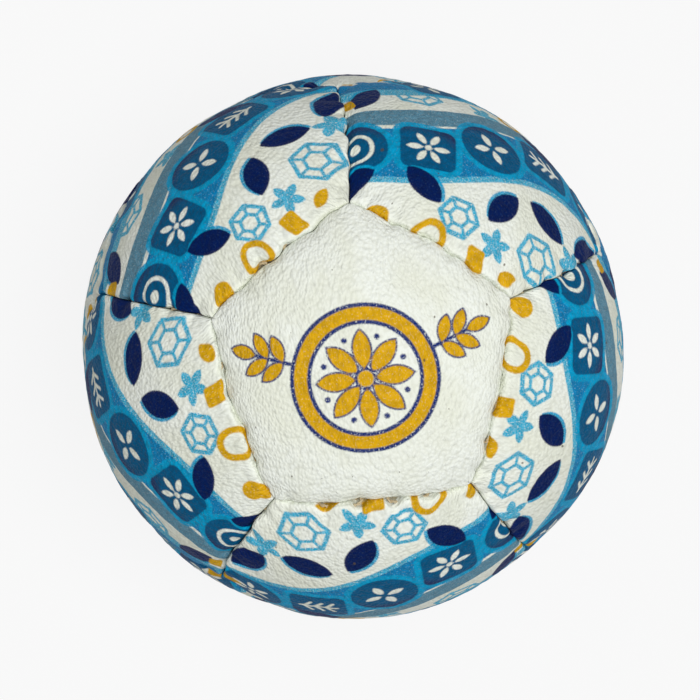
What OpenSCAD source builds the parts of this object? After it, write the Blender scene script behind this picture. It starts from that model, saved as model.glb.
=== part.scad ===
// Soft stitched practice ball: twelve five-sided leather panels, sewn edge to edge
// over a core of packed pellets. Millimetres. The origin is the centre of the ball,
// +Z runs out through the middle of the top panel and +Y over one of its corners.
// The lower half is the upper half turned half a turn about X.

/* [Ball] */
// Diameter over the crowns of the panels
ball_d = 63.5; // [58:0.5:75]
// How far the centre of a panel's dome stands off the centre of the ball
dome_offset = 4; // [3:0.25:6]
// Depth of the patch that the ball presses flat where it rests
rest_depth = 0.5; // [0.3:0.1:0.8]

/* [Leather] */
// Thickness of the leather
leather_t = 0.9; // [0.7:0.05:1.1]
// Radius inside the fold along a panel's edge
fold_inner_r = 0.3; // [0.2:0.05:0.5]
// Width of the seam allowance that is turned in below the fold
allowance_w = 2.4; // [2:0.1:3]
// Gap between the two allowances of a seam
seam_gap = 0.1; // [0.06:0.02:0.2]
// Radius of the notch that lets the allowance turn at a corner
notch_r = 1; // [0.7:0.1:1.2]

/* [Stitching] */
// Needle holes along one seam
stitches = 6; // [4:1:7]
// Diameter of the thread
thread_d = 0.5; // [0.4:0.05:0.6]
// How much wider than the thread a needle hole is
needle_slack = 0.2; // [0.1:0.05:0.3]
// Leather between the fold and the row of needle holes
row_inset = 0.4; // [0.3:0.05:0.8]
// The same on the seam that closes the ball, which is sewn from outside
closing_inset = 0.15; // [0.1:0.05:0.3]
// Leather between a corner notch and the first needle hole
corner_land = 0.5; // [0.3:0.1:1]
// Clearance between the thread and the face of the allowance that it lies on
thread_gap = 0.02; // [0.01:0.01:0.05]

/* [Fill] */
// Clearance between the pellets and the leather or thread round them
fill_gap = 0.15; // [0.1:0.05:0.3]

/* [Hidden] */
$fn = 96;
// Segments round a needle hole or a thread
thread_fn = 48;
sides = 5;
turn = 360 / sides;
golden_share = (1 + sqrt(5)) / 2;
// Angles at the ball's centre from the middle of a panel to its edge and to its corner,
// and from the middle of an edge to its end
edge_polar = atan(1 / golden_share);
corner_polar = atan(3 - sqrt(5));
edge_half = acos(cos(corner_polar) / cos(edge_polar));

ball_r = ball_d / 2;
dome_r = ball_r - dome_offset;
fold_r = leather_t + fold_inner_r;
hole_r = (thread_d + needle_slack) / 2;
cut = ball_d;

// The rolled edge stands this far proud of the dome that it runs into, so that they cross
crease = 0.02;
// Distance from the dome's centre to a seam's face, along the seam's normal
seam_h = dome_offset * sin(edge_polar) - seam_gap / 2;
// The dome's centre seen in the plane of a seam, and the fold's radius about it
seam_c = dome_offset * cos(edge_polar);
fold_ring = sqrt(pow(dome_r - fold_r + crease, 2) - pow(seam_h - fold_r, 2));
// Distance from the ball's centre to the free edge of the allowances, and to a corner's fold
allowance_r = seam_c + fold_ring - allowance_w;
corner_fold = seam_c * cos(edge_half) + sqrt(pow(fold_ring, 2) - pow(seam_c * sin(edge_half), 2));

// A bend of thread is this much thicker than the thread
bend_share = 1.16;
// How far from a seam's middle plane the thread lies on an allowance
thread_x = seam_gap / 2 + leather_t + thread_d / 2 + thread_gap;
// The pellets stop this far short of a seam's face, clear of the thread
fill_side = leather_t + thread_gap + thread_d * bend_share + fill_gap;

ring = [0 : sides - 1];
pole_edge = 2; // the edge of a ring panel that meets the pole panel
next_edge = 1; // the edge that meets the next panel of its ring
equator_edges = [0, 4]; // the edges that meet the other half
closing_edge = 2; // the edge of the top panel that is sewn last

function upper_panel_name(j) = str("upper_panel_", j + 1);
function lower_panel_name(j) = str("lower_panel_", j + 1);
function top_thread_name(j) = j == closing_edge ? "closing_thread" : str("top_thread_", j + 1);
function upper_thread_name(j) = str("upper_thread_", j + 1);
function equator_thread_name(j, side) = str("equator_thread_", 2 * j + side + 1);
function lower_thread_name(j) = str("lower_thread_", j + 1);
function bottom_thread_name(j) = str("bottom_thread_", j + 1);

// Azimuth of edge k of a panel that faces +Z, and so of ring panel k
function edge_azimuth(k) = 90 + (k + 0.5) * turn;

// Carries what is drawn for a panel that faces +Z to ring panel j
module on_ring(j) rotate([0, 2 * edge_polar, edge_azimuth(j)]) rotate([0, 0, -90]) children();

// Carries the upper half to the lower half
module lower_half() rotate([180, 0, 0]) children();

// The frame of edge k: Z out through the middle of the seam, Y along it, X into the next panel
module on_edge(k) rotate([0, edge_polar, edge_azimuth(k)]) children();

// Distance from the middle of the dome's circle to a row of stitches
function row_r(inset) = fold_ring - inset - hole_r;

// Half the angle that a row of stitches spans, seen from there
function row_half(inset) =
    edge_half + asin(seam_c * sin(edge_half) / row_r(inset))
    - asin((notch_r + corner_land + hole_r) / row_r(inset));

// The place of stitch i in a row, in the frame of its edge
module at_stitch(i, inset) {
    spin = (1 - 2 * i / (stitches - 1)) * row_half(inset);
    translate([0, 0, seam_c]) rotate([spin, 0, 0]) translate([0, 0, row_r(inset)]) children();
}

// All that lies on the panel's side of edge k, with the edge rolled over to the fold's radius
module rolled_side(k, depth) {
    r = fold_r - depth;
    h = seam_h - depth;
    translate([0, 0, dome_offset]) rotate([0, 90 + edge_polar, edge_azimuth(k)])
        rotate_extrude() union() {
            translate([0, -cut]) square([fold_ring, cut + h]);
            translate([fold_ring, h - r]) circle(r = r);
            translate([0, -cut]) square([cut, cut + h - r]);
        }
}

// A panel's puffed body, shrunk by depth all round
module pillow(depth) intersection() {
    translate([0, 0, dome_offset]) sphere(r = dome_r - depth);
    rolled_side(0, depth);
    rolled_side(1, depth);
    rolled_side(2, depth);
    rolled_side(3, depth);
    rolled_side(4, depth);
}

// What rests on the ground is flat from here down, for a skin that lies this deep
module rest_side(depth)
    translate([-cut, -cut, ball_r - rest_depth - depth]) cube([2 * cut, 2 * cut, cut]);

module needle_holes(closing) for (k = ring) on_edge(k) {
    inset = k == closing ? closing_inset : row_inset;
    for (i = [0 : stitches - 1]) at_stitch(i, inset)
        translate([-seam_gap - fold_r - leather_t, 0, 0]) rotate([0, 90, 0])
            cylinder(r = hole_r, h = 2 * fold_r + leather_t, $fn = thread_fn);
}

module corner_notches() for (k = ring) rotate([0, corner_polar, 90 + k * turn])
    cylinder(r = notch_r, h = corner_fold - leather_t / 2);

// One leather panel that faces +Z: a domed shell with its edges folded in to be sewn.
// closing names the edge that is sewn last, and rests says that its crown is pressed flat
module leather_panel(closing = -1, rests = false) difference() {
    pillow(0);
    difference() {
        pillow(leather_t);
        if (rests) rest_side(leather_t);
    }
    sphere(r = allowance_r);
    if (rests) rest_side(0);
    needle_holes(closing);
    corner_notches();
}

module top_panel() color("ivory") leather_panel(closing = closing_edge);

module bottom_panel() color("ivory") lower_half() leather_panel(rests = true);

module upper_panel(j) color("lightsteelblue") on_ring(j)
    leather_panel(closing = j == closing_edge ? pole_edge : -1);

module lower_panel(j) color("lightsteelblue") lower_half() on_ring(j) leather_panel();

// The thread along one seam, in the frame of its edge: through every pair of needle holes,
// and from each hole to the next on the inner faces of both allowances
module seam_thread(inset) {
    step = 2 * row_half(inset) / (stitches - 1);
    run = 2 * row_r(inset) * sin(step / 2);
    for (i = [0 : stitches - 1]) at_stitch(i, inset) {
        rotate([0, 90, 0]) cylinder(d = thread_d, h = 2 * thread_x, center = true, $fn = thread_fn);
        for (side = [0, 1]) mirror([side, 0, 0]) translate([thread_x, 0, 0]) {
            sphere(d = thread_d * bend_share, $fn = thread_fn);
            if (i > 0) rotate([90 + step / 2, 0, 0])
                cylinder(d = thread_d, h = run, $fn = thread_fn);
        }
    }
}

module top_thread(j) color("tan") on_edge(j)
    seam_thread(j == closing_edge ? closing_inset : row_inset);

module upper_thread(j) color("tan") on_ring(j) on_edge(next_edge) seam_thread(row_inset);

module equator_thread(j, side) color("tan") on_ring(j) on_edge(equator_edges[side])
    seam_thread(row_inset);

module lower_thread(j) color("tan") lower_half() on_ring(j) on_edge(next_edge)
    seam_thread(row_inset);

module bottom_thread(j) color("tan") lower_half() on_edge(j) seam_thread(row_inset);

// What fills one panel: the space under its dome, between its allowances
module panel_fill(rests = false) difference() {
    translate([0, 0, dome_offset]) sphere(r = dome_r - leather_t - fill_gap);
    for (k = ring) on_edge(k) translate([-fill_side - seam_gap / 2, -cut, -cut])
        cube([cut, 2 * cut, 2 * cut]);
    if (rests) rest_side(leather_t + fill_gap);
}

module pellet_fill() color("dimgray") union() {
    sphere(r = allowance_r - fill_gap);
    panel_fill();
    for (j = ring) on_ring(j) panel_fill();
    lower_half() {
        panel_fill(rests = true);
        for (j = ring) on_ring(j) panel_fill();
    }
}

top_panel();
bottom_panel();
pellet_fill();
for (j = ring) {
    upper_panel(j);
    lower_panel(j);
    top_thread(j);
    upper_thread(j);
    for (side = [0, 1])
        equator_thread(j, side);
    lower_thread(j);
    bottom_thread(j);
}
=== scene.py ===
"""The looks of a soft stitched practice ball: twelve puffed leather pentagons with turned-in seams.

Lengths are in millimetres until a mesh or a light is made. A panel is shaped facing +Z with a corner
towards +Y, then turned to its place on the ball. Its print is drawn on the flat leather, as distances
inside simple figures.
"""

import math

import bpy
import numpy as np
from mathutils import Matrix, Vector


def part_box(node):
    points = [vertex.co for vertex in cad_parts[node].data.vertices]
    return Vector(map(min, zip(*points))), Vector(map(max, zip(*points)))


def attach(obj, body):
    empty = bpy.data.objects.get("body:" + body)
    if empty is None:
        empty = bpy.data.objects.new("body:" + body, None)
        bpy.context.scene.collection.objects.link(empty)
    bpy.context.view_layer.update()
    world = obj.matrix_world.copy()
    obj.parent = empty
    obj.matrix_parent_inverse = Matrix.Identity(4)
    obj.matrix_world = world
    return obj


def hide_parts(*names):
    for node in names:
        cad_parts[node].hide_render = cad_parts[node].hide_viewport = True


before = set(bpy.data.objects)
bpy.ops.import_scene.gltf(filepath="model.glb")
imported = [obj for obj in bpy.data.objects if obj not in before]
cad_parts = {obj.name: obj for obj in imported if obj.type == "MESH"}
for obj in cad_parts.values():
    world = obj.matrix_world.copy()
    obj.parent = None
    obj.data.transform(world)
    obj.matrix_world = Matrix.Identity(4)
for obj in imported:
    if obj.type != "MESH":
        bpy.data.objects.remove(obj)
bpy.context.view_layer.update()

MM = 0.001
SIDES = 5
TURN = 2 * math.pi / SIDES
GOLDEN = (1 + math.sqrt(5)) / 2

# The ball, from the frame
BALL_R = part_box("top_panel")[1].z / MM
REST_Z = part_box("bottom_panel")[0].z / MM

# The leather: its dome, whose centre lies off the ball's, its fold, squarer than a circle, and its allowance
DOME_OFFSET = 4.0
DOME_R = BALL_R - DOME_OFFSET
LEATHER_T = 0.9
FOLD_R = 1.15
FOLD_SQUARE = 4.4
ALLOWANCE_W = 2.4
SEAM_GAP = 0.06

# Angles at the ball's centre: from a panel's middle to its edge and its corner, and along half an edge
EDGE_POLAR = math.atan(1 / GOLDEN)
CORNER_POLAR = math.atan(3 - math.sqrt(5))
EDGE_HALF = math.acos(math.cos(CORNER_POLAR) / math.cos(EDGE_POLAR))

# A fold runs round the dome's centre, seen in the plane of its seam
SEAM_C = DOME_OFFSET * math.cos(EDGE_POLAR)
SEAM_H = DOME_OFFSET * math.sin(EDGE_POLAR) - SEAM_GAP / 2
FOLD_RING = math.sqrt((DOME_R - FOLD_R) ** 2 - (SEAM_H - FOLD_R) ** 2)
SEAM_R = SEAM_C + FOLD_RING

# A ring panel's edges to the other half and to the next panel, and the top panel's edge that is sewn last
EQUATOR_EDGES = (0, 4)
NEXT_EDGE = 1
CLOSING_EDGE = 2

# A panel's net: faces along half an edge outside and inside, rows over the fold, down the allowance and
# inside, and how far towards its rim the inner dome's net runs
FINE = 72
COARSE = FINE // 4
ARC_ROWS = 12
WALL_ROWS = 4
INNER_ROWS = 3
INNER_SHARE = 0.96

# Farther than any place on the flat leather. The inner skin counts as lying there
FAR = 99.0

# Two shares that differ by less are the same
SAME = 0.01

# A stitch's dent: its depth and how that differs, its width, reach off the seam, miss and slant
STITCHES = 6
STITCH_PULL = 0.3
PULL_SHARES = (0.55, 1.3)
STITCH_W = 0.85
STITCH_REACH = 1.8
STITCH_MISS = 0.22
STITCH_SLANT = 0.35

# The narrow crease in the middle of a dent
CREASE_DEPTHS = (-0.02, 0.12)
CREASE_W = 0.35
CREASE_REACH = 2.8

# Small puckers, so many times as long as wide, lie all along a seam
PUCKER = 0.05
PUCKER_W = 0.55
PUCKER_LONG = 6
PUCKER_REACH = 2.2

# A seam gapes at its stitches by shares of this, drawn from the first list. The closing seam has the second
GAPE = 0.2
GAPE_W = 0.8
GAPE_REACH = 1.2
GAPE_SHARES = (0.0, 0.0, 0.4, 0.8, 1.3)
CLOSING_GAPES = (0.3, 1.9, 2.4, 2.1, 1.5, 0.3)

# Where a seam doesn't gape, the fill presses its edges together, more in some places than in others
PRESS = 0.2
PRESS_REACH = 1.6
PRESS_CHANGE = 0.45
PRESS_LUMP = 2.1

# One edge of a seam sinks and rolls down, and the other stands proud and leans over it, down to this depth.
# Round the top panel its own edges sink, and elsewhere it is chance
LIP = 0.22
LIP_LIMIT = 1.2
LIP_REACH = 2.2
ROLL = 0.34
ROLL_REACH = 1.1
LEAN = 0.55
LEAN_REACH = 1.5
LEAN_DEPTH = 1.3

# A seam wanders off its plane in waves, each with its share and range of lengths, and jogs at its stitches
WANDER = 0.15
WANDER_REACH = 3.5
WAVES = ((1.0, (7, 14)), (0.5, (3, 6)))
WAVE_STARTS = (0, 6)
JOG = 0.19
JOG_LIMIT = 1.5
JOG_W = 0.75
JOG_REACH = 1.4

# Three folds meet this far out at a corner, round a shallow pit
CORNER_R = 29.8
CORNER_PIT = 0.07
CORNER_W = 1.3

# Sewing moved each corner, as photographed or by chance, and the leather about it. At each meeting of three
# panels one is blunt, and the others follow it in
CORNER_MISS = 0.3
CORNER_SEED = 7
WARP_REACH = 10.0
WARP_LIMIT = 0.8
BLUNT = 0.6
BLUNT_REACH = 1.15
BLUNT_SEED = 17

# Lumps of the coarser grain and of the fill: height, size and seed. The grain's lumps are bent
GRAIN_LUMPS = ((0.035, 0.75, 44), (0.02, 1.9, 45))
FILL_LUMPS = ((0.13, 9.0, 51), (0.05, 3.6, 52))
GRAIN_BEND = 0.25
GRAIN_BEND_SIZE = 1.3
GRAIN_BEND_SEEDS = (41, 42, 43)

# A row of stitches lies this deep below the fold's foot, and ends this far from the corners
ROW_DEPTH = 0.75
CLOSING_DEPTH = 0.5
CORNER_LAND = 1.85

# Thread: two plies twisted together, which run on the inner faces of the allowances. A seam has two threads
THREAD_D = 0.44
THREAD_CLEAR = 0.02
THREAD_X = SEAM_GAP / 2 + LEATHER_T + THREAD_D / 2 + THREAD_CLEAR
THREAD_LAY = 1.25
THREAD_STEP = 0.2
TWIN_OFF = 0.25 * THREAD_D
PLY_OFF = 0.25 * THREAD_D
PLY_R = 0.27 * THREAD_D
PLY_SIDES = 6
BEND_CUTS = 3
BEND_SHARE = 0.25

# A slack stitch: how far below the folds' feet it starts, its rise in a gape, and its run along and across
SLACK_DEPTH = 0.35
SLACK_RISE = 0.42
SLACK_RUN = 0.62
SLACK_ACROSS = 0.14

# Camera: its turn from straight above, as a vector along its axis and in degrees, and how far off it is
CAMERA_TURN = (3.69, 2.67, 4.78)
CAMERA_FAR = 1224.0
PHOTO_SIDE = 700
PHOTO_CENTRE = (352.46, 346.71)
PIXELS_PER_MM = 8.66
SENSOR = 36.0

# Where the photograph shows the corners of the panels, anticlockwise from the top
NEAR_CORNERS = ((349, 202), (212, 316), (271.6, 499), (472, 484), (510, 298))
FAR_CORNERS = ((334, 92), (97, 294), (226, 568), (524, 541), (592, 253))


def unit(v):
    return v / np.linalg.norm(v, axis=-1, keepdims=True)


def about_z(angle):
    c, s = math.cos(angle), math.sin(angle)
    return np.array([[c, -s, 0], [s, c, 0], [0, 0, 1]])


def about_y(angle):
    c, s = math.cos(angle), math.sin(angle)
    return np.array([[c, 0, s], [0, 1, 0], [-s, 0, c]])


HALF_TURN = np.diag([1.0, -1.0, -1.0])


def bell(x):
    """1 at 0, fading to either side."""
    return np.exp(-(x**2))


def bells(place, spots, sizes, width):
    """The sum of a bell of its own size at each of the spots."""
    return sum(size * bell((place - spot) / width) for size, spot in zip(sizes, spots))


def edge_azimuth(k):
    return math.pi / 2 + (k + 0.5) * TURN


def edge_frame(k):
    """Unit vectors of edge k of a panel facing +Z: out through its middle, along it, into the next panel."""
    turned = about_z(edge_azimuth(k)) @ about_y(EDGE_POLAR)
    return turned[:, 2], turned[:, 1], turned[:, 0]


def ring_turn(k):
    """The turn of a panel from facing +Z to its place in the upper ring."""
    return about_z(edge_azimuth(k)) @ about_y(2 * EDGE_POLAR) @ about_z(-math.pi / 2)


def panel_turns():
    """The turn of every panel from facing +Z to its place."""
    turns = {"top_panel": np.eye(3)}
    turns |= {f"upper_panel_{k + 1}": ring_turn(k) for k in range(SIDES)}
    turns |= {f"lower_panel_{k + 1}": HALF_TURN @ ring_turn(k) for k in range(SIDES)}
    turns["bottom_panel"] = HALF_TURN
    return turns


# Noise. Odd numbers and shifts scatter the bits of a cell's place and of the seed

PLACE_FACTORS = (73856093, 19349663, 83492791)
SEED_FACTOR = 26544357
MIXING = ((13, 12741261), (16, 22468225), (15, 1))
WORD = 0xFFFFFFFF
LARGEST = 0xFFFFFF


def hashed(cells, seed):
    """A number from 0 to 1 for each lattice cell, the same on every run."""
    bits = seed * SEED_FACTOR
    for i, factor in enumerate(PLACE_FACTORS):
        bits = bits ^ (cells[..., i].astype(np.int64) * factor)
    for shift, factor in MIXING:
        bits = ((bits ^ (bits >> shift)) * factor) & WORD
    return (bits & LARGEST) / LARGEST


def noise(points, size, seed):
    """Smooth noise from -1 to 1 whose lumps are about size across."""
    scaled = points / size
    cell = np.floor(scaled)
    inside = scaled - cell
    inside = inside * inside * (3 - 2 * inside)
    value = 0.0
    for corner in np.ndindex(2, 2, 2):
        share = np.prod(np.where(corner, inside, 1 - inside), axis=-1)
        value = value + share * hashed(cell + corner, seed)
    return 2 * value - 1


def lumpy(points, lumps):
    """The height of noise in lumps of several sizes."""
    return sum(height * noise(points, size, seed) for height, size, seed in lumps)


# A panel's surface, as a net of faces


def profile(depth, arc_rows, wall_rows):
    """The edge's section, that deep in the leather, from the dome over the fold to the allowance's free edge.

    Each row is its distance from the edge's axis through the dome's centre, its place along that axis, the
    angle of its normal and how far past the dome it is on the flat leather.
    """
    r = FOLD_R - depth
    h = SEAM_H - depth
    start = math.atan2(h - r, FOLD_RING)
    rows = []
    past = 0.0
    for i in range(arc_rows + 1):
        angle = start + (math.pi / 2 - start) * i / arc_rows
        c, s = math.cos(angle), math.sin(angle)
        swell = (c**FOLD_SQUARE + s**FOLD_SQUARE) ** (-1 / FOLD_SQUARE)
        across, along = FOLD_RING + r * swell * c, h - r + r * swell * s
        if rows:
            past += math.hypot(across - rows[-1][0], along - rows[-1][1])
        facing = math.atan2(s ** (FOLD_SQUARE - 1), c ** (FOLD_SQUARE - 1))
        rows.append((across, along, facing, past))
    for i in range(1, wall_rows + 1):
        down = ALLOWANCE_W * i / wall_rows
        rows.append((FOLD_RING - down, h, math.pi / 2, past + down))
    return rows


def edge_reach(across, along):
    """How far round the edge's axis a row runs, from the edge's middle to the mitre at its corner."""
    slope = math.tan(TURN / 2)
    lean = slope * math.sin(EDGE_POLAR)
    mitre = slope * along * math.cos(EDGE_POLAR) / (across * math.hypot(1, lean))
    return math.atan(lean) + math.asin(mitre)


def row_loop(row, columns):
    """A closed loop of points and normals for one row of the section."""
    across, along, angle, _ = row
    reach = edge_reach(across, along)
    points, normals = [], []
    for k in range(SIDES):
        out, side, over = edge_frame(k)
        spin = np.linspace(-reach, reach, columns + 1)[:-1, None]
        spoke = np.cos(spin) * out + np.sin(spin) * side
        points.append(across * spoke + along * over)
        normals.append(math.cos(angle) * spoke + math.sin(angle) * over)
    return np.concatenate(points) + [0, 0, DOME_OFFSET], np.concatenate(normals)


def flat_place(points):
    """Where points of the dome lie on the flat leather, seen from outside."""
    ray = unit(points - [0, 0, DOME_OFFSET])
    across = np.hypot(ray[:, 0], ray[:, 1])
    stretch = DOME_R * np.arctan2(across, ray[:, 2]) / np.maximum(across, 1e-9)
    return ray[:, :2] * stretch[:, None]


def dome_net(rim, cells, radius, share=1.0):
    """The dome inside a rim: its points and normals, its faces, and the index of each point on its border.

    Five kites meet in the middle, each a net of cells by cells faces that follows its four sides.
    """
    count = len(rim)
    border = share * rim[:, :2] / (rim[:, 2:] - DOME_OFFSET)
    index, spots, faces = {}, [], []
    loop = np.zeros(count, int)
    for k in range(SIDES):
        corner = 2 * cells * k
        for i, j in np.ndindex(cells + 1, cells + 1):
            if i == 0 and k > 0:
                index[k, i, j] = index[k - 1, j, 0]
            elif j == 0 and k == SIDES - 1:
                index[k, i, j] = index[0, 0, i]
            else:
                s, t = i / cells, j / cells
                index[k, i, j] = len(spots)
                after = border[(corner + cells - j) % count]
                before = border[(corner - cells + i) % count]
                spots.append(s * after + t * before - s * t * border[corner])
        for j in range(cells + 1):
            loop[(corner + cells - j) % count] = index[k, cells, j]
            loop[(corner - cells + j) % count] = index[k, j, cells]
        for i, j in np.ndindex(cells, cells):
            square = ((i, j), (i, j + 1), (i + 1, j + 1), (i + 1, j))
            faces.append(tuple(index[k, a, b] for a, b in square))
    ray = unit(np.column_stack([spots, np.ones(len(spots))]))
    return radius * ray + [0, 0, DOME_OFFSET], ray, faces, loop


def strip(a, b):
    """Faces between two loops of as many points, the second further out."""
    return [(a[i], b[i], b[j], a[j]) for i, j in enumerate(np.roll(np.arange(len(a)), -1))]


def fan_strip(fine, coarse):
    """Triangles between a loop and the next one, which has fewer points."""
    step = len(fine) // len(coarse)
    half = step // 2
    faces = []
    for i, here in enumerate(coarse):
        after = coarse[(i + 1) % len(coarse)]
        part = [fine[(i * step + n) % len(fine)] for n in range(step + 1)]
        faces += [(part[n], here, part[n + 1]) for n in range(half)]
        faces.append((part[half], here, after))
        faces += [(part[n], after, part[n + 1]) for n in range(half, step)]
    return faces


class Net:
    """A panel's points with their normals and flat places, how far past the dome each is, and the faces."""

    def __init__(self):
        self.parts, self.faces, self.total = [], [], 0

    def add(self, points, normals, flat, past):
        self.parts.append((points, normals, flat, np.full(len(points), past)))
        self.total += len(points)
        return self.total + np.arange(-len(points), 0)

    def add_inner(self, points, normals):
        """Adds points of the inner skin."""
        return self.add(points, -normals, np.full((len(points), 2), FAR), FAR)

    def join(self):
        self.points, self.normals, self.flat, self.past = map(np.concatenate, zip(*self.parts))


def panel_net():
    """One closed panel facing +Z: its dome, its fold, both faces of its allowance and its inner skin."""
    net = Net()
    columns = 2 * FINE
    outer = profile(0, ARC_ROWS, WALL_ROWS)
    inner = profile(LEATHER_T, INNER_ROWS, INNER_ROWS)
    rim, _ = row_loop(outer[0], columns)
    points, normals, faces, loop = dome_net(rim, FINE, DOME_R)
    net.add(points, normals, flat_place(points), 0.0)
    net.faces += faces
    edges = [edge_azimuth(k) for k in range(SIDES)]
    out = np.repeat([[math.cos(edge), math.sin(edge)] for edge in edges], columns, axis=0)
    for row in outer[1:]:
        past = row[3]
        fresh = net.add(*row_loop(row, columns), flat_place(rim) + past * out, past)
        net.faces += strip(loop, fresh)
        loop = fresh
    for row in reversed(inner):
        fresh = net.add_inner(*row_loop(row, columns))
        net.faces += strip(loop, fresh)
        loop = fresh
    rim, _ = row_loop(inner[0], 2 * COARSE)
    points, normals, faces, coarse = dome_net(rim, COARSE, DOME_R - LEATHER_T, INNER_SHARE)
    fresh = net.add_inner(points, normals)
    net.faces += [tuple(fresh[i] for i in reversed(face)) for face in faces]
    net.faces += fan_strip(loop, fresh[coarse])
    net.join()
    return net


# The hand-sewn shape


class Seam:
    """A seam between two panels, what its stitches do to the leather, and its hand-sewn wander.

    across points out of the panel that names the seam first.
    """

    def __init__(self, number, middle, along, across, closing, lip):
        dice = np.random.default_rng(number)
        self.number = number
        self.middle, self.along, self.across = middle, along, across
        self.row = FOLD_RING - (CLOSING_DEPTH if closing else ROW_DEPTH)
        half = EDGE_HALF + math.asin(SEAM_C * math.sin(EDGE_HALF) / self.row)
        half -= math.asin(CORNER_LAND / self.row)
        self.spins = np.linspace(-half, half, STITCHES)
        angles = np.arctan2(self.row * np.sin(self.spins), SEAM_C + self.row * np.cos(self.spins))
        self.places = SEAM_R * angles + dice.normal(0, STITCH_MISS, STITCHES)
        self.pulls = STITCH_PULL * dice.uniform(*PULL_SHARES, STITCHES)
        self.slants = dice.normal(0, STITCH_SLANT, (2, STITCHES))
        self.creases = dice.uniform(*CREASE_DEPTHS, (2, STITCHES))
        self.gapes = dice.choice(GAPE_SHARES, STITCHES)
        self.jogs = JOG * np.clip(dice.normal(size=STITCHES), -JOG_LIMIT, JOG_LIMIT)
        if closing:
            self.gapes = np.array(CLOSING_GAPES)
        self.lip = lip or LIP * np.clip(dice.normal(), -LIP_LIMIT, LIP_LIMIT)
        self.waves = [
            (share * WANDER * dice.normal(), dice.uniform(*lengths), dice.uniform(*WAVE_STARTS))
            for share, lengths in WAVES
        ]

    def edges(self, centre):
        """Whether the panel about centre has the seam."""
        return centre @ self.middle > math.cos(EDGE_POLAR) - SAME

    def where(self, points):
        """How far along the seam and off its plane points are, and a share that fades to 0 at its ends."""
        place = SEAM_R * np.arctan2(points @ self.along, points @ self.middle)
        fade = np.clip(1 - (place / (SEAM_R * EDGE_HALF)) ** 2, 0, 1)
        return place, np.abs(points @ self.across), fade

    def sink(self, place, away, side):
        """How far the stitches pull the leather in."""
        total = np.zeros(len(place))
        for spot, pull, slant, crease in zip(self.places, self.pulls, self.slants[side], self.creases[side]):
            off = place - spot - slant * away
            total += pull * bell(off / STITCH_W) * bell(away / STITCH_REACH)
            total += crease * bell(off / CREASE_W) * bell(away / CREASE_REACH)
        row = [place / PUCKER_W, away / (PUCKER_LONG * PUCKER_W), np.full(len(place), side)]
        return total + PUCKER * noise(np.column_stack(row), 1.0, self.number) * bell(away / PUCKER_REACH)

    def wander(self, place, away=0.0):
        """How far the seam runs off its plane there, which the leather beside it follows less and less."""
        slow = sum(size * np.sin(place * math.tau / length + start) for size, length, start in self.waves)
        jog = bells(place, self.places, self.jogs, JOG_W)
        return slow * np.exp(-away / WANDER_REACH) + jog * np.exp(-away / JOG_REACH)

    def press(self, place, away, gape):
        """How far the fill presses an edge towards the other, which stops it halfway."""
        row = np.column_stack([place, np.zeros((len(place), 2))])
        tight = 1 - PRESS_CHANGE + PRESS_CHANGE * noise(row, PRESS_LUMP, self.number)
        return PRESS * tight * np.clip(1 - gape, 0, 1) * bell(away / PRESS_REACH)

    def pull(self, points, centre):
        """How far points of the panel about centre sink, and how far the seam carries them across itself."""
        place, away, fade = self.where(points)
        inner = centre @ self.across < 0
        lip = self.lip if inner else -self.lip
        roll = ROLL * max(lip / LIP, 0) * bell(away / ROLL_REACH)
        sunk = self.sink(place, away, int(inner)) + (lip * bell(away / LIP_REACH) + roll) * fade
        height = np.clip(1 - (SEAM_R - np.linalg.norm(points, axis=1)) / LEAN_DEPTH, 0, 1)
        gape = bells(place, self.places, self.gapes, GAPE_W)
        lean = -LEAN * self.lip / LIP * height * bell(away / LEAN_REACH) * np.clip(1 - gape / 2, 0, 1)
        press = np.minimum(self.press(place, away, gape) * height, np.maximum(away - SEAM_GAP / 2, 0))
        apart = GAPE * gape * height * np.exp(-away / GAPE_REACH) - press
        shift = (self.wander(place, away) + lean + (-apart if inner else apart)) * fade
        return sunk, np.outer(shift, self.across)

    def thread(self, first):
        """The route of one of the seam's two threads, which starts on that side of it."""
        stops = []
        side = first
        off = first * TWIN_OFF / self.row
        for spin, gape in zip(self.spins, self.gapes):
            stops.append((side * THREAD_X, self.row, spin + off))
            if gape and first > 0:
                rise = FOLD_RING - SLACK_DEPTH + SLACK_RISE * gape
                stops.append((side * SLACK_ACROSS, rise, spin - SLACK_RUN / self.row))
                stops.append((-side * SLACK_ACROSS, rise, spin + SLACK_RUN / self.row))
            side = -side
            stops.append((side * THREAD_X, self.row, spin + off))
        across, ring, spin = (part[:, None] for part in np.array(stops).T)
        spoke = np.cos(spin) * self.middle + np.sin(spin) * self.along
        return SEAM_C * self.middle + ring * spoke + across * self.across


def all_seams(turns):
    """The thirty seams by the names of their thread nodes."""
    names = [f"top_thread_{k + 1}" for k in range(SIDES)]
    names[CLOSING_EDGE] = "closing_thread"
    seams = {}

    def sew(name, turn, k, closing=False, lip=0.0):
        middle, along, across = (turn @ v for v in edge_frame(k))
        seams[name] = Seam(len(seams), middle, along, across, closing, lip)

    for k in range(SIDES):
        upper, lower = turns[f"upper_panel_{k + 1}"], turns[f"lower_panel_{k + 1}"]
        sew(names[k], turns["top_panel"], k, k == CLOSING_EDGE, LIP)
        sew(f"upper_thread_{k + 1}", upper, NEXT_EDGE)
        for side, edge in enumerate(EQUATOR_EDGES):
            sew(f"equator_thread_{2 * k + side + 1}", upper, edge)
        sew(f"lower_thread_{k + 1}", lower, NEXT_EDGE)
        sew(f"bottom_thread_{k + 1}", turns["bottom_panel"], k)
    return seams


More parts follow.
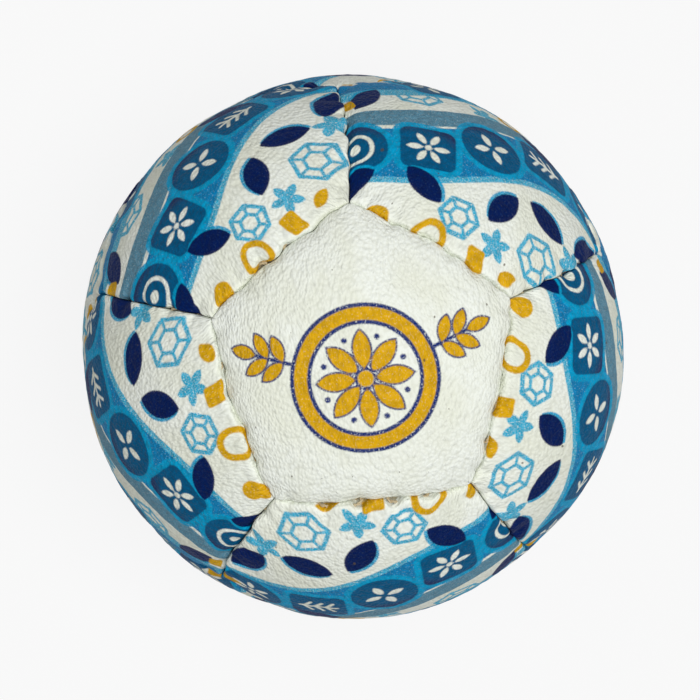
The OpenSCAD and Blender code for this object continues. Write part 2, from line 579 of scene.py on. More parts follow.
def ball_corners(turns):
    """The panels' twenty corners as unit vectors, first those that the photograph shows."""
    corner = np.array([0, math.sin(CORNER_POLAR), math.cos(CORNER_POLAR)])
    near = [about_z(k * TURN) @ corner for k in range(SIDES)]
    far = [turns[f"upper_panel_{(k - 1) % SIDES + 1}"] @ about_z(TURN) @ corner for k in range(SIDES)]
    return np.array(near + far + [HALF_TURN @ c for c in near + far])


def camera_turn():
    """The turn that brings the ball's directions to the camera's right, up and back."""
    turn = Vector([math.radians(a) for a in CAMERA_TURN])
    return np.array(Matrix.Rotation(turn.length, 3, turn.normalized()))


def corner_moves(corners):
    """How far the sewing moved each corner, as photographed or by chance."""
    look = camera_turn()
    moves = CORNER_MISS * np.random.default_rng(CORNER_SEED).normal(size=corners.shape)
    moves -= np.sum(moves * corners, axis=1, keepdims=True) * corners
    for i, pixel in enumerate(NEAR_CORNERS + FAR_CORNERS):
        normal = look @ corners[i]
        scale = PIXELS_PER_MM * CAMERA_FAR / (CAMERA_FAR - CORNER_R * normal[2])
        seen = (np.array(pixel) - PHOTO_CENTRE) * [1, -1] / scale
        miss = seen - CORNER_R * normal[:2]
        move = np.append(miss, -(miss @ normal[:2]) / normal[2])
        moves[i] = look.T @ move * min(1, WARP_LIMIT / np.linalg.norm(move))
    return moves


def blunt_moves(corners, turns):
    """How far each corner is drawn into the panel that is blunt there."""
    dice = np.random.default_rng(BLUNT_SEED)
    middles = np.array([turn[:, 2] for turn in turns.values()])
    moves = []
    for i, corner in enumerate(corners):
        meeting = np.argsort(middles @ corner)[-3:]
        chosen = middles[0] if i < SIDES else middles[dice.choice(meeting)]
        moves.append(BLUNT * unit(chosen - (chosen @ corner) * corner))
    return np.array(moves)


class Ball:
    """The seams, and how sewing and stuffing shape the leather and the threads."""

    def __init__(self):
        self.turns = panel_turns()
        self.seams = all_seams(self.turns)
        self.corners = ball_corners(self.turns)
        self.moves = corner_moves(self.corners)
        self.blunts = blunt_moves(self.corners, self.turns)

    def settled(self, points, shift, sink):
        """Points shifted and sunk, pushed out by the fill, and carried along the ball as its corners are."""
        swell = lumpy(unit(points) * BALL_R, FILL_LUMPS)
        points = points + shift + (swell - sink)[:, None] * unit(points)
        ray = unit(points)
        carried = points.copy()
        for corner, move, blunt in zip(self.corners, self.moves, self.blunts):
            far = BALL_R * np.arccos(np.clip(ray @ corner, -1, 1))
            carried += np.outer(bell(far / WARP_REACH), move)
            carried += np.outer(np.exp(-far / BLUNT_REACH), blunt)
        return unit(carried) * np.linalg.norm(points, axis=1, keepdims=True)

    def sewn(self, points, centre):
        """Points of the panel about centre, sewn and stuffed."""
        sink = np.zeros(len(points))
        shift = np.zeros_like(points)
        for seam in self.seams.values():
            if seam.edges(centre):
                sunk, carried = seam.pull(points, centre)
                sink += sunk
                shift += carried
        for corner in self.corners[self.corners @ centre > math.cos(CORNER_POLAR) - SAME]:
            far = np.linalg.norm(points - CORNER_R * corner, axis=1)
            sink += CORNER_PIT * bell(far / CORNER_W)
        return self.settled(points, shift, sink)

    def threaded(self, points, seam):
        """Points of a seam's threads, carried along with the leather."""
        place, _, fade = seam.where(points)
        at_seam = np.zeros(len(points))
        sink = (seam.sink(place, at_seam, 0) + seam.sink(place, at_seam, 1)) / 2
        return self.settled(points, np.outer(seam.wander(place) * fade, seam.across), sink)


# Thread, as twisted strands along a route

# A direction in which no thread starts
ASLANT = (0.31, 0.62, 0.72)


def rounded(path):
    """The path with its bends cut off again and again."""
    for _ in range(BEND_CUTS):
        start, end = path[:-1], path[1:]
        near, far = (start + share * (end - start) for share in (BEND_SHARE, 1 - BEND_SHARE))
        path = np.concatenate([path[:1], np.stack([near, far], axis=1).reshape(-1, 3), path[-1:]])
    return path


def stepped(path, step):
    """The path in even steps, with two unit vectors across it at each and its length so far."""
    lengths = np.append(0, np.cumsum(np.linalg.norm(np.diff(path, axis=0), axis=1)))
    spots = np.linspace(0, lengths[-1], max(2, round(lengths[-1] / step)))
    even = np.column_stack([np.interp(spots, lengths, path[:, i]) for i in range(3)])
    tangents = unit(np.gradient(even, axis=0))
    normals = [unit(np.cross(tangents[0], ASLANT))]
    for tangent in tangents[1:]:
        normals.append(unit(normals[-1] - (normals[-1] @ tangent) * tangent))
    normals = np.array(normals)
    return even, normals, np.cross(tangents, normals), spots


def strands(path):
    """Points and faces of a thread's two plies along a path."""
    even, normals, binormals, spots = stepped(rounded(path), THREAD_STEP)
    around = np.linspace(0, math.tau, PLY_SIDES, endpoint=False)[None, :, None]
    rings = np.cos(around) * normals[:, None] + np.sin(around) * binormals[:, None]
    points, faces = [], []
    total = 0
    for start in (0, math.pi):
        turn = (start + math.tau * spots / THREAD_LAY)[:, None]
        middle = even + PLY_OFF * (np.cos(turn) * normals + np.sin(turn) * binormals)
        points.append((middle[:, None] + PLY_R * rings).reshape(-1, 3))
        index = total + np.arange(len(even) * PLY_SIDES).reshape(-1, PLY_SIDES)
        for a, b in zip(index[:-1], index[1:]):
            faces += [(a[i - 1], a[i], b[i], b[i - 1]) for i in np.roll(range(PLY_SIDES), -1)]
        faces += [tuple(index[0][::-1]), tuple(index[-1])]
        total += index.size
    return np.concatenate(points), faces


# The print: how far inside a figure each point is, in millimetres


def disc(p, radius):
    return radius - np.hypot(p[:, 0], p[:, 1])


def hoop(p, radius, width):
    return width / 2 - np.abs(disc(p, radius))


def block(p, width, height, corner):
    """A rounded rectangle."""
    q = np.abs(p) - [width / 2 - corner, height / 2 - corner]
    outside = np.linalg.norm(np.maximum(q, 0), axis=1)
    return corner - outside - np.minimum(np.max(q, axis=1), 0)


def line(p, path, width):
    """A stroke with round ends along a path."""
    nearest = np.full(len(p), FAR)
    for a, b in zip(np.array(path[:-1], float), np.array(path[1:], float)):
        share = np.clip((p - a) @ (b - a) / ((b - a) @ (b - a)), 0, 1)
        nearest = np.minimum(nearest, np.linalg.norm(p - a - share[:, None] * (b - a), axis=1))
    return width / 2 - nearest


def leaf(p, length, width):
    """What two circles through both of the leaf's ends share."""
    radius = (length**2 + width**2) / (4 * width)
    off = radius - width / 2
    return np.minimum(disc(p - [0, off], radius), disc(p + [0, off], radius))


def polygon(radius, corners):
    """A regular polygon's closed outline."""
    return [(radius * math.cos(a), radius * math.sin(a)) for a in np.linspace(0, math.tau, corners + 1)]


def folded(p, count):
    """Points brought into the one of count like sectors about +X."""
    sector = math.tau / count
    angle = (np.arctan2(p[:, 1], p[:, 0]) + sector / 2) % sector - sector / 2
    return np.hypot(p[:, 0], p[:, 1])[:, None] * np.column_stack([np.cos(angle), np.sin(angle)])


def seen_from(p, x, y, degrees=0.0):
    """Points as seen from a figure at x, y that is turned by that much."""
    return (p - [x, y]) @ about_z(math.radians(degrees))[:2, :2]


# The inks in the order of printing: display colour, how thick each is at its thinnest, and how much is gone
# where the grain kept it off
INKS = {
    "sky": ((20, 164, 202), 0.78, 0.5),
    "mid": ((0, 122, 176), 0.9, 0.25),
    "slate": ((80, 132, 156), 0.92, 0.2),
    "teal": ((0, 84, 126), 0.97, 0.06),
    "dusk": ((36, 50, 90), 0.97, 0.06),
    "halo": ((0, 154, 200), 0.84, 0.3),
    "navy": ((0, 22, 78), 0.985, 0.04),
    "royal": ((0, 34, 106), 0.92, 0.6),
    "gold": ((212, 162, 0), 0.975, 0.2),
}


class Print:
    """Ink on flat leather: how far inside each ink's figures, and inside the bare ones, each point is."""

    def __init__(self, points):
        self.points = points
        self.inks = {name: np.full(len(points), -FAR) for name in (*INKS, "bare")}

    def at(self, x, y, degrees=0.0):
        return seen_from(self.points, x, y, degrees)

    def add(self, ink, distance):
        self.inks[ink] = np.maximum(self.inks[ink], distance)


# Beads, the lit disc that their soft shadow leaves out, and the bright line round their edge
BEADS = {"round": (disc, 4.1), "square": (block, 7.0, 7.0, 1.3)}
LIT_PLACE = (-1.0, -2.4)
LIT_R = 5.7
SHADE_OUT = 0.2
SHADE_SOFT = 0.12
HALO_OUT = 0.6
HALO_IN = 0.2


def wheel(p):
    petal, width, off, hub = 2.0, 0.85, 1.6, 0.4
    return np.maximum(leaf(folded(p, 6) - [off, 0], petal, width), disc(p, hub))


def rings(p):
    radius, width, middle = 2.1, 0.5, 0.7
    return np.maximum(hoop(p, radius, width), disc(p, middle))


def petals(p):
    length, width, off = 2.1, 1.0, 1.45
    return leaf(folded(p, 4) - [off, 0], length, width)


def sprig(p):
    """A stalk with three pairs of twigs."""
    half, width = 2.2, 0.42
    back, out = 0.9, 1.4
    drawn = line(p, [(-half, 0), (half, 0)], width)
    for tip in (-0.9, 0.4, 1.7):
        drawn = np.maximum(drawn, line(p, [(tip - back, out), (tip, 0), (tip - back, -out)], width))
    return drawn


def bead(art, x, y, degrees, shape, mark):
    """A teal bead with a dark far side and a pale mark."""
    p = art.at(x, y, degrees)
    figure, *sizes = BEADS[shape]
    body = figure(p, *sizes)
    art.add("teal", body)
    art.add("dusk", np.minimum(body + SHADE_OUT, -SHADE_SOFT * disc(p - LIT_PLACE, LIT_R)))
    art.add("halo", np.minimum(body + HALO_OUT, HALO_IN - body))
    art.add("bare", mark(p))


def blade(art, x, y, degrees):
    """A dark leaf with a brighter blue edge along one side."""
    length, width, edge = 6.2, 3.1, (0.15, 0.4)
    p = art.at(x, y, degrees)
    art.add("navy", leaf(p, length, width))
    art.add("halo", leaf(p - edge, length, width))


def comb(art, x, y, degrees, radius):
    """Two hexagons in outline, joined by spokes."""
    outer_w, inner_w, spoke_w, share = 0.52, 0.44, 0.4, 0.5
    p = art.at(x, y, degrees)
    art.add("sky", line(p, polygon(radius, 6), outer_w))
    art.add("sky", line(p, polygon(radius * share, 6), inner_w))
    art.add("sky", line(folded(p, 6), [(radius * share, 0), (radius, 0)], spoke_w))


def flower(art, x, y, degrees):
    petal, width, heart = 2.2, 1.15, 0.7
    p = folded(art.at(x, y, degrees), SIDES)
    art.add("sky", leaf(p - [petal / 2, 0], petal, width))
    art.add("sky", disc(p, heart))


def frond(art, x, y, degrees, size):
    """A sky-coloured leaf with a pale vein and a darker twin."""
    width_share, vein_shares, vein_w = 0.55, (-0.5, 0.3), 0.3
    twin_turn, twin_place_shares, twin_shares = 62, (-0.1, 0.5), (0.8, 0.4)
    p = art.at(x, y, degrees)
    vein = line(p, [(size * share, 0) for share in vein_shares], vein_w)
    art.add("sky", np.minimum(leaf(p, size, size * width_share), -vein))
    q = art.at(x, y, degrees - twin_turn) - [size * share for share in twin_place_shares]
    art.add("mid", leaf(q, *(size * share for share in twin_shares)))


# A ribbon's tilt and its wave's height and length. Its beads are this far apart and turned to either side
RIBBON_TILT = 25.0
RIBBON_WAVE = 1.4
RIBBON_LONG = 5.6
BEAD_STEP = 8.5
BEAD_TURN = 13

# The layout of the print. A ribbon has an ink, a place and a width, and a string a place and its first number
RIBBONS = (
    ("sky", 0.4, -2.2, 8.6),
    ("mid", 0.2, -1.8, 7.8),
    ("slate", -1.6, 4.0, 3.2),
    ("sky", -4.6, 11.8, 5.6),
    ("mid", -5.0, 12.8, 3.8),
)
LONG_STRING = (("round", rings), ("square", wheel), ("round", petals), ("square", sprig), ("round", wheel))
SHORT_STRING = (("square", petals), ("round", rings))
STRINGS = ((0.0, -1.2, -2, LONG_STRING), (-8.6, 10.8, 0, SHORT_STRING))

# Figures with their places and turns, and the size where it differs
BLADES = (
    (3.6, -9.4, 68), (9.4, -6.2, -12), (16.2, -3.0, 60), (-6.2, -11.6, -35), (-15.6, 2.0, 70),
    (-14.6, -13.4, 40), (6.4, 8.4, -20),
)
COMBS = ((10.2, -12.0, 21, 3.0), (-9.8, 5.0, 0, 2.9), (-1.0, -14.0, 8, 2.5), (9.0, 12.0, 12, 2.6))
FLOWERS = ((4.4, -14.6, 30), (14.6, -7.6, 12), (-1.4, 7.4, 15), (13.6, 8.6, 0))
FRONDS = ((-16.8, 6.6, 20, 3.4), (3.6, 13.6, 40, 3.6))

# Small gold pieces with their places, turns and sizes
GOLD_PIECES = (
    (disc, (-9.8, -17.3), (1.5,)),
    (hoop, (-3.4, -17.7), (1.7, 0.8)),
    (block, (2.8, -17.4, 8), (2.4, 2.5, 0.4)),
    (leaf, (7.6, -16.9, 30), (3.0, 1.5)),
    (block, (-17.8, 0.4, 20), (1.7, 2.3, 0.5)),
    (disc, (17.8, 6.6), (1.2,)),
    (hoop, (2.2, 10.6), (1.3, 0.7)),
)


def ribbon(art, x, y, width):
    """How far inside a waving stripe through x, y each point is."""
    p = art.at(x, y, RIBBON_TILT)
    return width / 2 - np.abs(p[:, 1] - RIBBON_WAVE * np.sin(p[:, 0] / RIBBON_LONG))


def strung(art, x, y, i, shape, mark):
    """A bead on the ribbon through x, y, that many beads past it."""
    along = i * BEAD_STEP
    spot = np.array([along, RIBBON_WAVE * math.sin(along / RIBBON_LONG)])
    place = seen_from(spot, 0, 0, -RIBBON_TILT) + [x, y]
    bead(art, *place, RIBBON_TILT + BEAD_TURN * (-1) ** i, shape, mark)


def ring_print(points):
    """A panel's print, whose lower edge is the one towards the pole."""
    art = Print(points)
    for ink, *place in RIBBONS:
        art.add(ink, ribbon(art, *place))
    for x, y, first, beads in STRINGS:
        for i, (shape, mark) in enumerate(beads, first):
            strung(art, x, y, i, shape, mark)
    for figure, places in ((blade, BLADES), (comb, COMBS), (flower, FLOWERS), (frond, FRONDS)):
        for place in places:
            figure(art, *place)
    for figure, place, sizes in GOLD_PIECES:
        art.add("gold", figure(art.at(*place), *sizes))
    return art


# The top panel's ornament: its place, band and rims, its petals and their outline, its heart and dots
MEDALLION_PLACE = (-0.2, -1.6, 3)
HOOPS = (("gold", 7.4, 1.5), ("royal", 8.35, 0.55), ("royal", 6.45, 0.55), ("royal", 1.05, 0.36))
PETALS = 8
PETAL_OFF = 3.35
PETAL_SIZES = (4.3, 1.95)
OUTLINE_HALF = 0.2
HEART_R = 0.9
DOT_OFF = 4.9
DOT_R = 0.34

# The sprays beside it: place, stalk and leaves, with the root and the turn of each
SPRAY_TURN = 17
SPRAY_OFF = 8.7
STALK_LONG = 4.6
STALK_W = 0.42
SPRAY_LEAF_SIZES = (3.1, 1.4)
SPRAY_LEAF_OFF = 1.7
SPRAY_LEAVES = ((0.9, 52), (0.9, -52), (2.8, 46), (2.8, -46), (4.4, 0))


def outlined(art, figure):
    """A gold figure with a blue line along its edge."""
    art.add("gold", figure)
    art.add("royal", OUTLINE_HALF - np.abs(figure))


def medallion(points):
    """A round ornament between two sprays of leaves."""
    art = Print(points)
    p = art.at(*MEDALLION_PLACE)
    for ink, radius, width in HOOPS:
        art.add(ink, hoop(p, radius, width))
    outlined(art, leaf(folded(p, PETALS) - [PETAL_OFF, 0], *PETAL_SIZES))
    art.add("gold", disc(p, HEART_R))
    between = folded(seen_from(p, 0, 0, 180 / PETALS), PETALS)
    art.add("royal", disc(between - [DOT_OFF, 0], DOT_R))
    for side in (-1, 1):
        q = seen_from(p * [side, 1], 0, 0, SPRAY_TURN) - [SPRAY_OFF, 0]
        art.add("royal", line(q, [(0, 0), (STALK_LONG, 0)], STALK_W))
        for root, lean in SPRAY_LEAVES:
            outlined(art, leaf(seen_from(q, root, 0, lean) - [SPRAY_LEAF_OFF, 0], *SPRAY_LEAF_SIZES))
    return art


# Materials


def display(red, green, blue):
    """A display colour from 0 to 255 as the light that it stands for."""
    shares = np.array([red, green, blue]) / 255
    return (*np.where(shares > 0.04045, ((shares + 0.055) / 1.055) ** 2.4, shares / 12.92), 1.0)


class Nodes:
    """The nodes of a material or of the world."""

    def __init__(self, data):
        data.use_nodes = True
        self.data = data
        self.tree = data.node_tree

    def feed(self, socket, value):
        if isinstance(value, bpy.types.NodeSocket):
            self.tree.links.new(value, socket)
        else:
            socket.default_value = value

    def node(self, kind, inputs, output=0, **settings):
        """One of the outputs of a new node, whose inputs are set or linked by name or place."""
        made = self.tree.nodes.new("ShaderNode" + kind)
        for name, value in settings.items():
            setattr(made, name, value)
        for place, value in inputs.items():
            self.feed(made.inputs[place], value)
        return made.outputs[output]

    def set(self, shader, **values):
        for name, value in values.items():
            self.feed(self.tree.nodes[shader].inputs[name.replace("_", " ")], value)

    def attribute(self, name, output="Fac"):
        return self.node("Attribute", {}, output, attribute_name=name)

    def math(self, operation, a, b=0.0, c=0.0):
        return self.node("Math", {0: a, 1: b, 2: c}, operation=operation)

    def ramp(self, value, low, high, to_low=0.0, to_high=1.0):
        """A value from low to high brought smoothly to the other range."""
        inputs = {"Value": value, "From Min": low, "From Max": high, "To Min": to_low, "To Max": to_high}
        return self.node("MapRange", inputs, interpolation_type="SMOOTHSTEP")

    def mix(self, share, a, b, blend="MIX"):
        """Two colours mixed, which are inputs 6 and 7 of the node."""
        return self.node("Mix", {0: share, 6: a, 7: b}, 2, data_type="RGBA", blend_type=blend)

    def noise(self, vector, scale, detail=2.0, output="Fac"):
        """Noise over the flat leather, whose lumps are 1 / scale across."""
        inputs = {"Vector": vector, "Scale": scale, "Detail": detail}
        return self.node("TexNoise", inputs, output, noise_dimensions="2D")

    def clouds(self, vector, scale, detail, *span):
        """Noise with a range of its values brought to another."""
        return self.ramp(self.noise(vector, scale, detail), *span)

    def bent(self, vector, scale, reach):
        """The vector, moved about by up to reach in lumps of 1 / scale."""
        drift = self.noise(vector, scale, 1.0, "Color")
        inputs = {0: drift, 1: (reach, reach, 0.0), 2: vector}
        return self.node("VectorMath", inputs, operation="MULTIPLY_ADD")

    def bump(self, height, distance, normal=None):
        inputs = {"Height": height, "Distance": distance}
        if normal:
            inputs["Normal"] = normal
        return self.node("Bump", inputs)


# The leather's own colour, clean and in wide and narrow clouds, and the painted shade in the dips of its
# grain
CLEAN = display(241, 245, 237)
CREAM = display(233, 236, 221)
PALE = display(235, 238, 226)
PAINTED_DIP_SHADE = display(206, 208, 190)
CREAM_CLOUDS = (0.13, 3, 0.35, 0.7)
PALE_CLOUDS = (2.6, 2, 0.45, 0.7, 0.0, 0.6)
DIP_SHADE_FROM = (0.35, 0.7, 0.0, 0.26)

# The grain: pebbles, bent in wide and narrow lumps, with folds and pores
PEBBLE_BENDS = ((0.12, 2.0), (1.7, 0.16))
PEBBLES = {"Scale": 2.6, "Smoothness": 0.5}
FOLD_SCALE = 1.5
FOLD_SHARE = 0.95
GRAIN_DEPTH = 0.12
PORE_SCALE = 5.0
PORE_DEPTH = 0.04
GLOSS_FROM = (0.3, 0.7, 0.5, 0.64)

# The inks' mottle, their wobbling and bleeding edges, their shades, and where the grain kept them off
MOTTLE_SCALE = 7.5
MOTTLE_GRAIN = 0.12
THICK_FROM = (0.3, 0.56)
WOBBLE_MIDDLE = 0.4
WOBBLE = 0.16
BLEED = 0.12
SHADE_CLOUDS = (1.3, 4, 0.3, 0.7, 0.88, 1.12)
MISSED_SCALE = 4.8
MISSED_GRAIN = 0.1
MISSED_FROM = (0.57, 0.68)

# A darker beige deep in the seams, and specks, of which only a few are large enough to show
SEAM_DEEP_BEIGE = display(192, 182, 152)
SEAM_DEEP_SCALE = 1.1
SEAM_DEEP_EDGE = 0.9
SEAM_DEEP_FROM = (2.5, 3.3)
SPECK = display(84, 72, 58)
SPECK_SCALE = 0.24
SPECK_POWER = 3.0
SPECK_SIZES = (0.062, -0.011)
SPECK_FROM = (-0.006, 0.008, 0.0, 0.75)


def white_leather_and_dip_shade(m, flat, pebbles):
    white = m.mix(m.clouds(flat, *CREAM_CLOUDS), CLEAN, CREAM)
    white = m.mix(m.clouds(flat, *PALE_CLOUDS), white, PALE)
    # Painted shade: the dips between the pebbles are darker and yellower
    return m.mix(m.ramp(pebbles, *DIP_SHADE_FROM), white, PAINTED_DIP_SHADE)


def inked(m, flat, pebbles, white):
    """The leather's colour under its inks, except where it was left bare."""

    def grainy(scale, share):
        return m.math("SUBTRACT", m.noise(flat, scale, 2), m.math("MULTIPLY", pebbles, share))

    mottle = grainy(MOTTLE_SCALE, MOTTLE_GRAIN)
    thick = m.ramp(mottle, *THICK_FROM)
    wobble = m.math("MULTIPLY", m.math("SUBTRACT", mottle, WOBBLE_MIDDLE), WOBBLE)
    shade = m.clouds(flat, *SHADE_CLOUDS)
    missed = m.ramp(grainy(MISSED_SCALE, MISSED_GRAIN), *MISSED_FROM)

    def inside(name):
        return m.ramp(m.math("ADD", m.attribute(name), wobble), -BLEED, BLEED)

    colour = white
    for name, (ink, thin, gone) in INKS.items():
        kept = m.math("SUBTRACT", m.ramp(thick, 0.0, 1.0, thin), m.math("MULTIPLY", missed, gone))
        shaded = m.mix(1.0, display(*ink), shade, "MULTIPLY")
        colour = m.mix(m.math("MULTIPLY", inside(name), kept), colour, shaded)
    return m.mix(inside("bare"), colour, white)


def beige_deep_in_seams(m, flat, colour):
    """The colour, turned a darker beige deep in the seams, with specks all over."""
    edge = m.math("MULTIPLY", m.noise(flat, SEAM_DEEP_SCALE, 2), SEAM_DEEP_EDGE)
    # A darker beige where the leather lies deep inside the seam
    deep_share = m.ramp(m.math("ADD", m.attribute("past"), edge), *SEAM_DEEP_FROM)
    colour = m.mix(deep_share, colour, SEAM_DEEP_BEIGE)
    spots = {"Vector": flat, "Scale": SPECK_SCALE}
    chance = m.node("TexVoronoi", spots, "Color", voronoi_dimensions="2D")
    size = m.math("MULTIPLY_ADD", m.math("POWER", chance, SPECK_POWER), *SPECK_SIZES)
    far = m.node("TexVoronoi", spots, "Distance", voronoi_dimensions="2D")
    return m.mix(m.ramp(m.math("SUBTRACT", size, far), *SPECK_FROM), colour, SPECK)


def leather():
    """White pebbled leather, printed, a darker beige deep in the seams, with painted shade in the dips of its
    grain.
    """
    m = Nodes(bpy.data.materials.new("pebbled_leather"))
    flat = m.attribute("flat", "Vector")
    bent = flat
    for scale, reach in PEBBLE_BENDS:
        bent = m.bent(bent, scale, reach)
    cells = {"Vector": bent, **PEBBLES}
    pebbles = m.node("TexVoronoi", cells, feature="SMOOTH_F1", voronoi_dimensions="2D")
    folds = m.math("MULTIPLY", m.noise(bent, FOLD_SCALE, 1), FOLD_SHARE)
    fine = m.noise(flat, PORE_SCALE, 2)
    wrinkles = m.bump(m.math("SUBTRACT", folds, pebbles), GRAIN_DEPTH * MM)
    colour = inked(m, flat, pebbles, white_leather_and_dip_shade(m, flat, pebbles))
    m.set(
        "Principled BSDF",
        Base_Color=beige_deep_in_seams(m, flat, colour),
        Roughness=m.ramp(fine, *GLOSS_FROM),
        Normal=m.bump(fine, PORE_DEPTH * MM, wrinkles),
        Specular_IOR_Level=0.05,
    )
    return m.data


def waxed_thread():
    """Beige twisted thread, darker where it was handled."""
    clean, handled = display(196, 180, 146), display(160, 140, 104)
    tone_scale, fibre_scale, fibre_depth = 700.0, 5200.0, 0.03
    m = Nodes(bpy.data.materials.new("waxed_thread"))
    spot = m.node("TexCoord", {}, "Object")
    fibre = m.node("TexNoise", {"Vector": spot, "Scale": fibre_scale, "Detail": 3.0})
    tone = m.ramp(m.node("TexNoise", {"Vector": spot, "Scale": tone_scale, "Detail": 2.0}), 0.35, 0.65)
    m.set(
        "Principled BSDF",
        Base_Color=m.mix(tone, clean, handled),
        Roughness=0.7,
        Normal=m.bump(fibre, fibre_depth * MM),
        Sheen_Weight=0.2,
    )
    return m.data


def packed_pellets():
    """Grey plastic pellets, pressed together, with painted shade in the gaps between them."""
    grey, dark = display(112, 112, 108), display(40, 40, 40)
    scale, own_share, depth = 480.0, 0.25, 0.6
    m = Nodes(bpy.data.materials.new("packed_pellets"))
    cells = {"Vector": m.node("TexCoord", {}, "Object"), "Scale": scale}
    near = m.node("TexVoronoi", cells, "Distance")
    tone = m.mix(own_share, grey, m.node("TexVoronoi", cells, "Color"))
    m.set(
        "Principled BSDF",
        # Painted shade: darker towards the rim of each pellet, in the gaps between pellets
        Base_Color=m.mix(m.ramp(near, 0.35, 0.6), tone, dark),
        Roughness=0.42,
        Normal=m.bump(m.ramp(near, 0.0, 0.6, 1.0, 0.0), depth * MM),
    )
    return m.data


# Pieces

# The grain is longer along a panel's Y than its X, and every panel is cut this far from the last
GRAIN_SHARE = 0.7
CUT_APART = np.array([61.3, 47.9])
# The cutting misses the print's place by so much, turns it so many degrees and aims in from the pole edge
CUT_MISS = 0.7
CUT_TURN = 4
CUT_IN = 0.4
CUT_SEED = 60
# The coarser grain ends this far past the dome, and fades over this width
GRAIN_END = 1.6
GRAIN_FADE = 0.6


def placed(name, data):
    made = bpy.data.objects.new(name, data)
    bpy.context.scene.collection.objects.link(made)
    return made


def piece(name, points, faces, material):
    mesh = bpy.data.meshes.new(name)
    mesh.from_pydata(points * MM, [], faces)
    mesh.shade_smooth()
    mesh.materials.append(material)
    return placed(name, mesh)


def printed(name, flat, number):
    """A panel's print, which every cutting places a little differently."""
    dice = np.random.default_rng(CUT_SEED + number)
    shift, turn = CUT_MISS * np.clip(dice.normal(size=2), -1, 1), dice.normal(0, CUT_TURN)
    if name == "top_panel":
        return medallion(flat)
    if not name.startswith("upper"):
        turn += 360 / SIDES * number
    return ring_print(seen_from(flat, 0, 0, turn) + shift - [0, CUT_IN])


def grain(leather_place):
    """The coarser grain's height."""
    drift = [noise(leather_place, GRAIN_BEND_SIZE, seed) for seed in GRAIN_BEND_SEEDS]
    return lumpy(leather_place + GRAIN_BEND * np.column_stack(drift), GRAIN_LUMPS)


def make_panel(name, number, net, ball, material):
    turn = ball.turns[name]
    cut = net.flat * [1.0, GRAIN_SHARE] + CUT_APART * number
    leather_place = np.column_stack([cut, np.zeros(len(cut))])
    sewn = ball.sewn(net.points @ turn.T, turn[:, 2])
    height = np.clip((GRAIN_END - net.past) / GRAIN_FADE, 0, 1) * grain(leather_place)
    sewn += height[:, None] * (net.normals @ turn.T)
    sewn[:, 2] = np.maximum(sewn[:, 2], REST_Z + np.where(net.past == FAR, LEATHER_T, 0.0))
    made = piece(f"{name}_leather", sewn, net.faces, material)
    layers = {"past": net.past, **printed(name, net.flat, number).inks}
    for layer, values in layers.items():
        made.data.attributes.new(layer, "FLOAT", "POINT").data.foreach_set("value", values)
    places = made.data.attributes.new("flat", "FLOAT_VECTOR", "POINT")
    places.data.foreach_set("vector", leather_place.ravel())
    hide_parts(name)
    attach(made, "root")


def make_threads(ball, material):
    """Twisted threads in place of the plain ones."""
    for name, seam in ball.seams.items():
        points, faces = np.empty((0, 3)), []
        for first in (1, -1):
            fresh, rings = strands(ball.threaded(seam.thread(first), seam))
            faces += [tuple(len(points) + i for i in ring) for ring in rings]
            points = np.concatenate([points, fresh])
        made = piece(f"{name}_strands", points, faces, material)
        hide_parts(name)
        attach(made, "root")


def dress_fill(pellets):
    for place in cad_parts["pellet_fill"].material_slots:
        place.material = pellets


# Camera, light and floor

# The backdrop's light on the ball, and the key light's brightness, lean and spread
FILL_LIGHT = 0.28
KEY_LIGHT = 0.785
KEY_LEAN = math.radians(8)
KEY_SPREAD = math.radians(30)
WHITE = (1, 1, 1, 1)
RAYS = ("Camera", "Glossy", "Transmission")

# The ball's flat rest lies this far over the floor, so that they don't coincide
FLOOR_DROP = 0.02
FLOOR_HALF = 2.0
FLOOR_GREY = (0.5, 0.5, 0.5, 1)
FLOOR_GLOW = 0.88


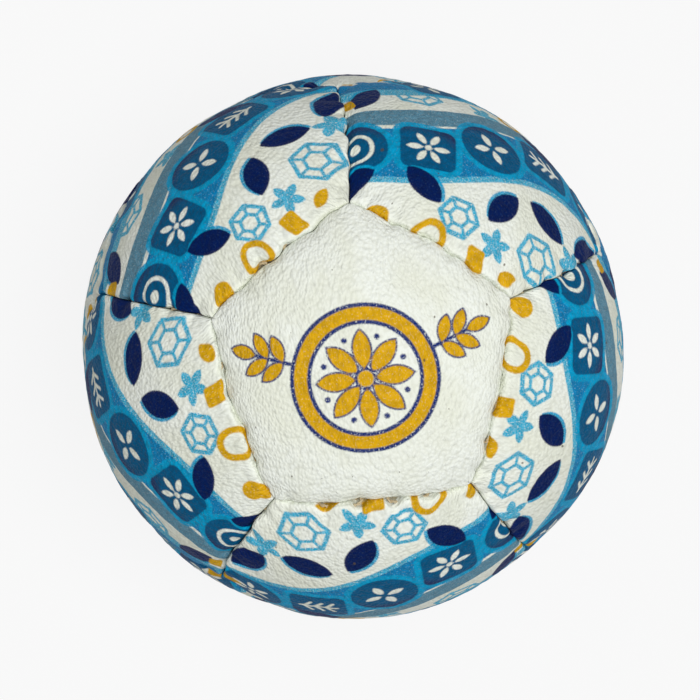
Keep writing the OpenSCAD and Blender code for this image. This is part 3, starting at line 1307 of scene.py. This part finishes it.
def make_camera():
    turn = Matrix(camera_turn().tolist()).transposed()
    data = bpy.data.cameras.new("camera")
    data.sensor_width = SENSOR
    data.lens = PIXELS_PER_MM * CAMERA_FAR / PHOTO_SIDE * SENSOR
    data.shift_x = (PHOTO_SIDE / 2 - PHOTO_CENTRE[0]) / PHOTO_SIDE
    data.shift_y = (PHOTO_CENTRE[1] - PHOTO_SIDE / 2) / PHOTO_SIDE
    camera = placed("camera", data)
    camera.matrix_world = Matrix.Translation(turn @ Vector((0, 0, CAMERA_FAR * MM))) @ turn.to_4x4()
    bpy.context.scene.camera = camera


def backdrop_rays(m):
    """1 where the camera, a reflection or glass looks at the backdrop."""
    camera, glossy, through = (m.node("LightPath", {}, f"Is {ray} Ray") for ray in RAYS)
    return m.math("MAXIMUM", m.math("MAXIMUM", camera, glossy), through)


def make_light():
    sun = bpy.data.lights.new("key", "SUN")
    sun.energy = KEY_LIGHT * math.pi
    sun.angle = KEY_SPREAD
    placed("key", sun).matrix_world = Matrix.Rotation(KEY_LEAN, 4, "Y")
    m = Nodes(bpy.data.worlds.new("studio"))
    level = m.node("MapRange", {"Value": backdrop_rays(m), "To Min": FILL_LIGHT})
    m.set("Background", Color=WHITE, Strength=level)
    bpy.context.scene.world = m.data


def make_floor():
    z = (REST_Z - FLOOR_DROP) * MM
    corners = [(x * FLOOR_HALF, y * FLOOR_HALF, z) for x, y in ((-1, -1), (1, -1), (1, 1), (-1, 1))]
    mesh = bpy.data.meshes.new("floor")
    mesh.from_pydata(corners, [], [(0, 1, 2, 3)])
    m = Nodes(bpy.data.materials.new("pale_floor"))
    m.set("Principled BSDF", Base_Color=FLOOR_GREY, Roughness=1.0, Specular_IOR_Level=0.0)
    glow = m.node("Emission", {"Color": WHITE})
    share = m.math("MULTIPLY", backdrop_rays(m), FLOOR_GLOW)
    mixed = m.node("MixShader", {0: share, 1: m.tree.nodes["Principled BSDF"].outputs[0], 2: glow})
    m.set("Material Output", Surface=mixed)
    mesh.materials.append(m.data)
    placed("floor", mesh)


make_camera()
make_light()
make_floor()
ball = Ball()
net = panel_net()
hide = leather()
for number, name in enumerate(ball.turns):
    make_panel(name, number, net, ball, hide)
make_threads(ball, waxed_thread())
dress_fill(packed_pellets())
bpy.context.scene.view_settings.view_transform = "Standard"
